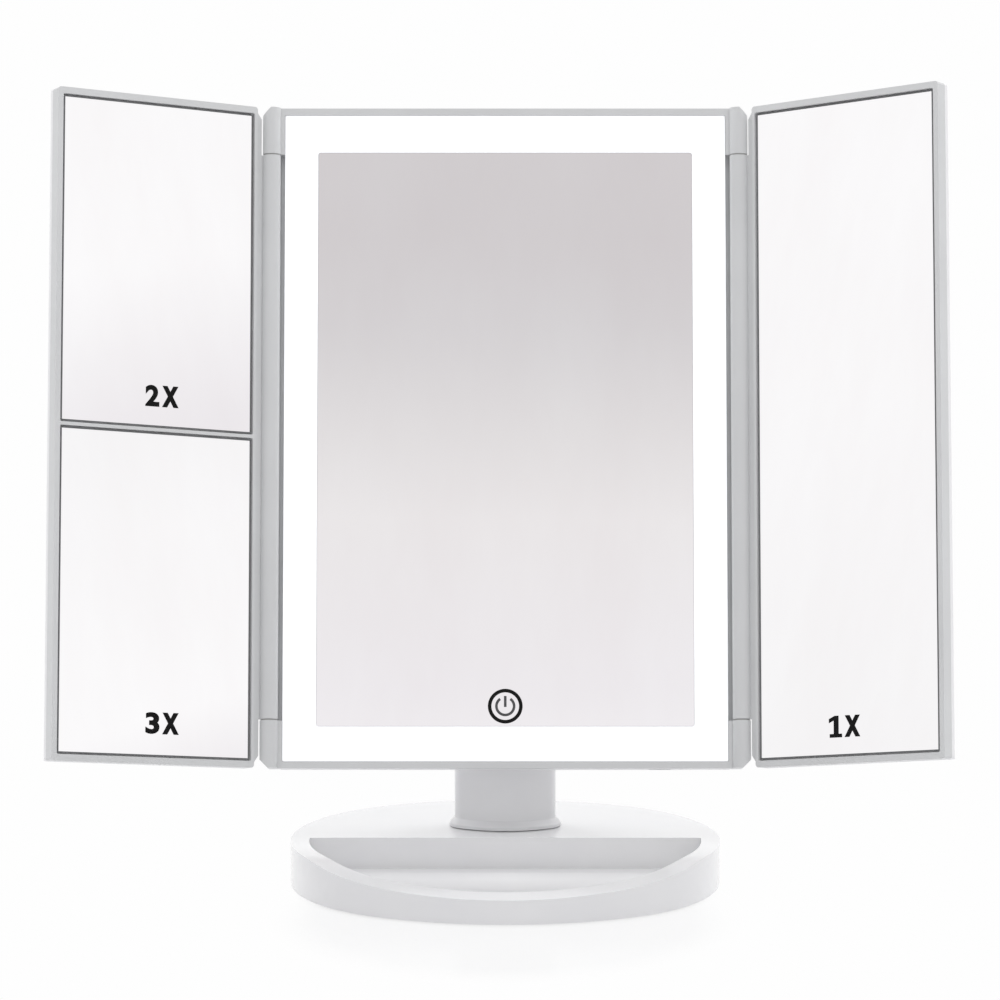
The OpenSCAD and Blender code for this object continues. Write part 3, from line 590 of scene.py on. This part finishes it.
def printed(name, bm, matrix, body, material):
    """Turns a flat print into a thin film that stands forward of the glass, and places it."""
    bmesh.ops.remove_doubles(bm, verts=bm.verts, dist=SAME_PLACE)
    film = bmesh.ops.extrude_face_region(bm, geom=bm.faces[:])
    front = [v for v in film["geom"] if isinstance(v, bmesh.types.BMVert)]
    bmesh.ops.translate(bm, verts=front, vec=(0, -INK, 0))
    bmesh.ops.recalc_face_normals(bm, faces=bm.faces)
    bmesh.ops.transform(bm, matrix=matrix, verts=bm.verts)
    return put_on(body, new_piece(name, bm), material)


ink = printing_ink("black_screen_ink", "#0E0E0E", "#141414")
soft_ink = printing_ink("grey_screen_ink", "#525254", "#5C5C5E")
symbol_place = HEAD @ Matrix.Translation((0, FACE_SINK, SYMBOL_HEIGHT))

bm = bmesh.new()
arc_band(bm, *SYMBOL_RING)
printed("touch_symbol_ring", bm, symbol_place, "head", ink)

bm = bmesh.new()
arc_band(bm, *SYMBOL_ARC)
bar = flat_rectangle(bm, *SYMBOL_BAR)
bmesh.ops.translate(bm, verts=bar, vec=(0, 0, SYMBOL_BAR_UP))
printed("touch_symbol_power", bm, symbol_place, "head", soft_ink)
print("symbol at", [round(1000 * v, 1) for v in symbol_place.translation])

# %% [markdown]
# ## Magnification marks
# Each wing mirror carries its magnification in the same black ink. The font that comes with
# Blender is thin, so an offset fattens its strokes to the bold weight of the print. Its figure
# one is a plain bar, though, and the printed one has a flag and a foot, so that figure is a
# single face drawn on eleven corners. Each character is stretched to its own share of the
# word, and the word is centred on its own origin, so that it is placed by its middle, whatever
# the font's own measures are.

# %% Magnification marks
WING_SINK = 0.8 * MM
WORD_WIDTH = 13.2 * MM
WORD_HEIGHT = 7.8 * MM
STROKE_GAIN = {"2": 0.04, "3": 0.04, "X": 0.075}
FIGURE_SHARE = (0.0, 0.42)
LETTER_SHARE = (0.5, 1.0)
FIGURE_ONE = [(0.1, 0), (0.9, 0), (0.9, 0.17), (0.68, 0.17), (0.68, 1), (0.42, 1),
              (0.05, 0.86), (0.05, 0.67), (0.36, 0.78), (0.36, 0.17), (0.1, 0.17)]


def on_wing(body, outwards_mm, up_mm):
    """A place on a wing's glass, so far out from the hinge and up from the foot."""
    side, wing = WINGS[body]
    return wing @ Matrix.Translation((side * outwards_mm * MM, WING_SINK, up_mm * MM))


def character(sign):
    """One character as a flat mesh in the XZ plane."""
    bm = bmesh.new()
    if sign == "1":
        bm.faces.new([bm.verts.new((x, 0, z)) for x, z in FIGURE_ONE])
        return bm
    text = bpy.data.curves.new(sign, "FONT")
    text.body = sign
    text.offset = STROKE_GAIN[sign]
    text.resolution_u = 8
    maker = bpy.data.objects.new(sign, text)
    bpy.context.scene.collection.objects.link(maker)
    bpy.context.view_layer.update()
    bm.from_mesh(maker.evaluated_get(bpy.context.evaluated_depsgraph_get()).to_mesh())
    bpy.data.objects.remove(maker)
    bmesh.ops.rotate(bm, verts=bm.verts, matrix=Matrix.Rotation(math.pi / 2, 3, "X"))
    return bm


def stretched(bm, share):
    """Fits a character to its share of a word that is 1 wide, 1 high and centred on 0."""
    xs = [v.co.x for v in bm.verts]
    zs = [v.co.z for v in bm.verts]
    start, end = share
    bmesh.ops.translate(bm, verts=bm.verts, vec=(-min(xs), 0, -min(zs)))
    bmesh.ops.scale(bm, verts=bm.verts,
                    vec=((end - start) / (max(xs) - min(xs)), 1, 1 / (max(zs) - min(zs))))
    bmesh.ops.translate(bm, verts=bm.verts, vec=(start - 0.5, 0, -0.5))
    return bm


def mark(name, word, body, outwards_mm, up_mm):
    bm = bmesh.new()
    for sign, share in zip(word, (FIGURE_SHARE, LETTER_SHARE)):
        single = bpy.data.meshes.new(sign)
        stretched(character(sign), share).to_mesh(single)
        bm.from_mesh(single)
        bpy.data.meshes.remove(single)
    bmesh.ops.scale(bm, verts=bm.verts, vec=(WORD_WIDTH, 1, WORD_HEIGHT))
    return printed(name, bm, on_wing(body, outwards_mm, up_mm), body, ink)


# the word, the wing, and how far outwards and up its middle is in mm
marks = {"mark_2x": ("2X", "left_wing", 43, 132.7),
         "mark_3x": ("3X", "left_wing", 41.9, 14.7),
         "mark_1x": ("1X", "right_wing", 43.2, 13.3)}
for name, row in marks.items():
    piece = mark(name, *row)
    print(name, "vertices", len(piece.data.vertices))

# %% [markdown]
# ## Sealed edges of the wing mirrors
# A fine dark line shows beside the frame's lip, where the narrow gap between the glass and the
# lip lies in shade. That shade is painted here as a thin dark film on the glass's border. A
# rectangle as big as the glass is inset by the width of the line, and its middle is deleted.

# %% Painted shade line round the wing glass
EDGE_LINE = 0.4 * MM
GLASS_SIDES = (7.4, 82.6)
# a dark grey film: painted shade for the shadowed gap between glass and lip
painted_shade_grey = printing_ink("painted_gap_shade", "#6C6D6F", "#77787A")


# draws the painted shade line round one wing glass
def painted_shade_line(name, body, foot, top):
    near, far = GLASS_SIDES
    bm = bmesh.new()
    flat_rectangle(bm, far - near, top - foot)
    middle = bm.faces[:]
    bmesh.ops.inset_region(bm, faces=middle, thickness=EDGE_LINE, use_boundary=True,
                           use_even_offset=True)
    bmesh.ops.delete(bm, geom=middle, context="FACES")
    place = on_wing(body, (near + far) / 2, (foot + top) / 2)
    return printed(name, bm, place, body, painted_shade_grey)


# the wing, and the heights of the glass's foot and top in mm
glasses = {"painted_shade_line_2x": ("left_wing", 121.6, 239.2),
           "painted_shade_line_3x": ("left_wing", 3.0, 119.2),
           "painted_shade_line_1x": ("right_wing", 3.0, 239.2)}
edge_lines = [painted_shade_line(name, *row) for name, row in glasses.items()]
print("edge lines:", [(piece.name, len(piece.data.polygons)) for piece in edge_lines])

# %% [markdown]
# ## Marks beside the slide switch
# The back carries the usual bar and ring for on and off, one at each end of the switch's slot.
# They are printed in the grey ink, with the same helpers as the symbol in front.

# %% Bar and ring at the switch
SWITCH_X = 41 * MM
SWITCH_HEIGHT = 20 * MM
BACK_DEPTH = 12 * MM
MARK_OFFSET = 6.4 * MM
SWITCH_RING = (1.1, 0.35, 0, 360)
SWITCH_BAR = (0.35, 2.5)


def beside_switch(offset):
    return HEAD @ Matrix.Translation((SWITCH_X + offset, BACK_DEPTH + INK, SWITCH_HEIGHT))


bm = bmesh.new()
arc_band(bm, *SWITCH_RING)
ring = printed("switch_off_ring", bm, beside_switch(-MARK_OFFSET), "head", soft_ink)

bm = bmesh.new()
flat_rectangle(bm, *SWITCH_BAR)
bar = printed("switch_on_bar", bm, beside_switch(MARK_OFFSET), "head", soft_ink)
print("switch marks:", [(piece.name, len(piece.data.polygons)) for piece in (ring, bar)])

# %% [markdown]
# ## The cells and their contacts
# Four AAA cells lie head to tail in the bay. A cell is a turned shape, so half its outline,
# from the middle of the foot to the top of the nub, is drawn once and spun round. Its sleeve
# is printed plastic film with a soft gloss, dark along the body with a pale ring and a copper
# end. Each vertex keeps its height along the cell in an attribute, and the sleeve's material
# reads its colours from that attribute, which works whichever way a cell is turned. The foot,
# the nub and the rims round them are bare metal.

# %% Cells
CELL_NUMBERS = range(1, 5)
CELL_RADIUS = 5.2
CELL_LENGTH = 44.5
CELL_HALF = CELL_LENGTH / 2
CELL_PITCH = 11
CELL_STEPS = 40
BAY_FOOT = 60
SPRING_ROOM = 5
BAY_MIDDLE = BAY_FOOT + (CELL_LENGTH + SPRING_ROOM) / 2
SLEEVE_END = 21.3
SLEEVE_RIM = 4.6
# radius and height in mm
CELL_OUTLINE = [(0, -21.95), (3.0, -21.95), (3.3, -22.2), (4.8, -22.2), (5.1, -21.95),
                (5.2, -21.6), (5.2, 20.7), (5.1, 21.0), (4.8, 21.2), (2.5, 21.2), (2.1, 20.95),
                (1.9, 21.2), (1.9, 21.95), (1.65, 22.2), (0, 22.25)]
# share of the cell's length, from its foot, and colour
SLEEVE_STOPS = [(0.0, "#33383F"), (0.06, "#3E444C"), (0.74, "#D9DBDD"), (0.76, "#B4713F")]


def cell_place(i):
    """Every second cell is turned end for end, and the four stand about the head's middle."""
    turned = Matrix.Rotation(math.pi, 4, "X") if i % 2 == 0 else Matrix()
    across = (i - (CELL_NUMBERS[0] + CELL_NUMBERS[-1]) / 2) * CELL_PITCH * MM
    depth = BACK_DEPTH + CELL_RADIUS * MM
    return HEAD @ Matrix.Translation((across, depth, BAY_MIDDLE * MM)) @ turned


def sleeve():
    material, tree, shader, place = start_material("printed_cell_sleeve", "#3E444C",
                                                   Roughness=0.3, Coat_Weight=0.4)
    along = add(tree, "ShaderNodeAttribute", attribute_name="along").outputs["Fac"]
    bands = add(tree, "ShaderNodeValToRGB", {"Fac": along}, stops=SLEEVE_STOPS)
    bands.color_ramp.interpolation = "CONSTANT"
    tree.links.new(bands.outputs["Color"], shader.inputs["Base Color"])
    patch, wrinkle = [
        add(tree, "ShaderNodeTexNoise", {"Vector": place},
            {"Scale": per_mm(size), "Detail": detail}).outputs["Fac"]
        for size, detail in ((4, 3), (3, 2))]
    vary(tree, shader, gloss=(patch, 0.24, 0.36), relief=[(wrinkle, 0.01, 1.0)])
    return material


def cell(i, wrap, metal):
    bm = bmesh.new()
    outline = [bm.verts.new((r * MM, 0, z * MM)) for r, z in CELL_OUTLINE]
    edges = [bm.edges.new(pair) for pair in zip(outline, outline[1:])]
    bmesh.ops.spin(bm, geom=[*outline, *edges], cent=(0, 0, 0), axis=(0, 0, 1),
                   angle=FULL_TURN, steps=CELL_STEPS, use_merge=True)
    bmesh.ops.remove_doubles(bm, verts=bm.verts, dist=SAME_PLACE)
    bmesh.ops.recalc_face_normals(bm, faces=bm.faces)
    along = bm.verts.layers.float.new("along")
    for vert in bm.verts:
        vert[along] = 0.5 + vert.co.z / (2 * CELL_HALF * MM)
    for face in bm.faces:
        middle = face.calc_center_median()
        from_axis = Vector((middle.x, middle.y)).length
        face.material_index = int(abs(middle.z) > SLEEVE_END * MM or from_axis < SLEEVE_RIM * MM)
    shade_by_angle(bm)
    bmesh.ops.transform(bm, matrix=cell_place(i), verts=bm.verts)
    piece = put_on("head", new_piece(f"cell_{i}", bm), wrap, f"battery_{i}")
    piece.data.materials.append(metal)
    return piece


wrap = sleeve()
cells = [cell(i, wrap, nickel) for i in CELL_NUMBERS]
print("cells:", [(piece.name, len(piece.data.polygons)) for piece in cells])

# %% [markdown]
# A cell's foot is pressed by a coil spring and its nub by a dimpled leaf. The coil is a small
# ring of wire spun round the cell's axis while it also climbs, which is what the spin
# operator's `dvec` does: a little rise for each step. Two turns in this height climb more than
# the wire's thickness each, so they stay apart. The wire's two open ends are then closed.

# %% Contacts
LEAF_SIZE = (8.4, 8, 0.5)
LEAF_HEIGHT = 24.5
LEAF_EDGE = 0.12
DIMPLE_RADII = (1.6, 2.6)
DIMPLE_DEPTH = 2
DIMPLE_HEIGHT = 23.3
WIRE_RADIUS = 0.3
COIL_RADIUS = 2.7
COIL_FOOT = 24
COIL_TURNS = 2
TURN_STEPS = 20
COIL_STEPS = COIL_TURNS * TURN_STEPS
COIL_RISE = (COIL_FOOT - CELL_HALF - WIRE_RADIUS) * MM / COIL_STEPS


def leaf(bm, height_mm):
    grown = bmesh.ops.create_cube(bm, size=MM)
    bmesh.ops.scale(bm, verts=grown["verts"], vec=LEAF_SIZE)
    bmesh.ops.translate(bm, verts=grown["verts"], vec=(0, 0, height_mm * MM))
    edges = {edge for vert in grown["verts"] for edge in vert.link_edges}
    bmesh.ops.bevel(bm, geom=list(edges), affect="EDGES", offset=LEAF_EDGE * MM, segments=2,
                    profile=0.5, material=-1)


def dimple(bm):
    foot, top = DIMPLE_RADII
    grown = bmesh.ops.create_cone(bm, cap_ends=True, segments=24, radius1=foot * MM,
                                  radius2=top * MM, depth=DIMPLE_DEPTH * MM)
    bmesh.ops.translate(bm, verts=grown["verts"], vec=(0, 0, DIMPLE_HEIGHT * MM))


def coil(bm):
    wire = bmesh.ops.create_circle(bm, segments=8, radius=WIRE_RADIUS * MM,
                                   matrix=Matrix.Rotation(math.pi / 2, 4, "X"))
    bmesh.ops.translate(bm, verts=wire["verts"], vec=(COIL_RADIUS * MM, 0, -COIL_FOOT * MM))
    ring = list({edge for vert in wire["verts"] for edge in vert.link_edges})
    bmesh.ops.spin(bm, geom=[*wire["verts"], *ring], cent=(0, 0, 0), axis=(0, 0, 1),
                   dvec=(0, 0, COIL_RISE), angle=COIL_TURNS * FULL_TURN, steps=COIL_STEPS)
    bmesh.ops.holes_fill(bm, edges=[edge for edge in bm.edges if edge.is_boundary], sides=0)


def contacts():
    bm = bmesh.new()
    for i in CELL_NUMBERS:
        before = set(bm.verts)
        leaf(bm, LEAF_HEIGHT)
        leaf(bm, -LEAF_HEIGHT)
        dimple(bm)
        coil(bm)
        made = [vert for vert in bm.verts if vert not in before]
        bmesh.ops.transform(bm, matrix=cell_place(i), verts=made)
    bmesh.ops.recalc_face_normals(bm, faces=bm.faces)
    shade_by_angle(bm, smooth_below=50)
    return new_piece("spring_contacts", bm)


springs = put_on("head", contacts(), nickel, "battery_contacts")
turn_gap = COIL_RISE * TURN_STEPS / MM - 2 * WIRE_RADIUS
print(f"contact faces: {len(springs.data.polygons)}, gap between turns {turn_gap:.2f} mm")

# %% [markdown]
# ## The table
# The photograph is taken on a white glossy sheet. In front of the base the sheet is a real
# surface: it carries a weak reflection of the base. Further out it fades to the plain white of
# the room, so that no horizon shows. The fade is a ramp on the distance from the middle of an
# oval patch, which a Mapping node stretches to its width and depth. Even on that patch most of
# the white is plain, which keeps the base's shadow as faint as it is there. The fade counts for
# whatever is seen: straight, in a mirror or through glass. For the light that falls on the
# object the sheet stays a real white surface. It lies a hair below the foot pad, because two
# faces at the same height would flicker through each other.

# %% Table
TABLE_SIZE = 6.0
TABLE_DROP = 0.05 * MM
PLAIN_WHITE = linear("#FEFEFE")
REAL_CENTRE_Y = -0.05
REAL_HALF_WIDTH = 0.085
REAL_HALF_DEPTH = 0.09
FADE_START = 0.75
FADE_END = 1.0
PLAIN_SHARE = 0.75


def seen_rays(tree):
    """1 for sight lines: straight from the camera, off gloss or through glass."""
    path = add(tree, "ShaderNodeLightPath").outputs
    mirrored = add(tree, "ShaderNodeMath",
                   {0: path["Is Glossy Ray"], 1: path["Is Transmission Ray"]}, operation="MAXIMUM")
    return add(tree, "ShaderNodeMath", {0: path["Is Camera Ray"], 1: mirrored.outputs["Value"]},
               operation="MAXIMUM").outputs["Value"]


def table_top():
    material, tree, shader, place = start_material("white_laminate", "#F7F7F9", Roughness=0.2)
    smears = add(tree, "ShaderNodeTexNoise", {"Vector": place},
                 {"Scale": per_mm(40), "Detail": 3}).outputs["Fac"]
    vary(tree, shader, gloss=(smears, 0.16, 0.22))
    patch = add(tree, "ShaderNodeMapping", {"Vector": place},
                {"Scale": (1 / REAL_HALF_WIDTH, 1 / REAL_HALF_DEPTH, 0),
                 "Location": (0, -REAL_CENTRE_Y / REAL_HALF_DEPTH, 0)}).outputs["Vector"]
    distance = add(tree, "ShaderNodeVectorMath", {0: patch}, operation="LENGTH").outputs["Value"]
    far = add(tree, "ShaderNodeMapRange", {"Value": distance},
              {"From Min": FADE_START, "From Max": FADE_END, "To Min": PLAIN_SHARE},
              interpolation_type="SMOOTHSTEP")
    share = add(tree, "ShaderNodeMath", {0: far.outputs["Result"], 1: seen_rays(tree)},
                operation="MULTIPLY")
    plain = add(tree, "ShaderNodeEmission", values={"Color": PLAIN_WHITE, "Strength": 1.0})
    mixed = add(tree, "ShaderNodeMixShader", {0: share.outputs["Value"], 1: shader.outputs["BSDF"],
                                              2: plain.outputs["Emission"]})
    tree.links.new(mixed.outputs["Shader"], tree.nodes["Material Output"].inputs["Surface"])
    return material


bm = bmesh.new()
bmesh.ops.create_grid(bm, x_segments=1, y_segments=1, size=TABLE_SIZE / 2)
bmesh.ops.translate(bm, verts=bm.verts, vec=(0, 0, -TABLE_DROP))
table = new_piece("table", bm)
finish_with(table, table_top())
print("table", [round(side, 2) for side in table.dimensions[:2]], "m, real patch",
      2 * REAL_HALF_WIDTH, "by", 2 * REAL_HALF_DEPTH, "m")

# %% [markdown]
# ## The room and the lamps
# A white room gives the even part of the light. What a mirror shows depends only on the height
# at which its reflected sight line meets the room, so the room's brightness changes with
# height: nearly white low down, where the wings look, and a band of grey above it, which gives
# the centre glass its gradient from grey at the top to white below. It starts as white as the
# table, so that no mirror shows a line where the two meet.

# %% Room
ROOM_LIGHT = 0.70
# height in degrees above the horizon, and colour
ROOM_STOPS = [(0, "#FEFEFE"), (5, "#F4F4F4"), (13.5, "#FCFCFC"), (19, "#FEFEFE"),
              (21.5, "#F0EEF0"), (23.5, "#EDEBEB"), (24.4, "#E4E2E2"), (25.6, "#D8D6D7"),
              (26.6, "#D4D1D2")]

world = bpy.data.worlds.new("white_room")
bpy.context.scene.world = world
world.use_nodes = True
sky = world.node_tree
lighting = sky.nodes["Background"]
lighting.inputs["Color"].default_value = linear("#FFFFFF")
lighting.inputs["Strength"].default_value = ROOM_LIGHT
direction = add(sky, "ShaderNodeTexCoord").outputs["Generated"]
height = add(sky, "ShaderNodeSeparateXYZ", {"Vector": direction}).outputs["Z"]
room = add(sky, "ShaderNodeValToRGB", {"Fac": height},
           stops=[(math.sin(math.radians(degrees)), colour) for degrees, colour in ROOM_STOPS])
mirrored = add(sky, "ShaderNodeBackground", {"Color": room.outputs["Color"]}, {"Strength": 1.0})
behind = add(sky, "ShaderNodeBackground", values={"Color": PLAIN_WHITE, "Strength": 1.0})
lit_or_seen = add(sky, "ShaderNodeMixShader",
                  {"Fac": seen_rays(sky), 1: lighting.outputs["Background"],
                   2: mirrored.outputs["Background"]})
straight = add(sky, "ShaderNodeLightPath").outputs["Is Camera Ray"]
final = add(sky, "ShaderNodeMixShader",
            {"Fac": straight, 1: lit_or_seen.outputs["Shader"], 2: behind.outputs["Background"]})
sky.links.new(final.outputs["Shader"], sky.nodes["World Output"].inputs["Surface"])
print("room's stops:", [round(stop.position, 3) for stop in room.color_ramp.elements])

# %% [markdown]
# The head hangs over the base, so a lamp in front of it would leave the base's flat rear half
# in shade. On the photograph that half is the brightest part of the stand. Two wide lamps
# stand behind the mirror instead, one on each side, and the third hangs high above it and only
# a little in front. No glossy surface shows them, so the mirrors show the plain room.

# %% Lamps
def softbox(name, place, target, size, power):
    lamp = bpy.data.lights.new(name, "AREA")
    lamp.shape = "DISK"
    lamp.size = size
    lamp.energy = power
    holder = bpy.data.objects.new(name, lamp)
    bpy.context.scene.collection.objects.link(holder)
    holder.location = place
    holder.rotation_euler = (Vector(target) - Vector(place)).to_track_quat("-Z", "Y").to_euler()
    holder.visible_glossy = False


softbox("softbox_above", place=(0.25, -0.35, 1.6), target=(0, 0, 0.1), size=1.2, power=6)
for side, name in ((-1, "softbox_left"), (1, "softbox_right")):
    softbox(name, place=(side * 0.9, 0.6, 1.0), target=(0, 0.03, 0.02), size=0.9, power=5)
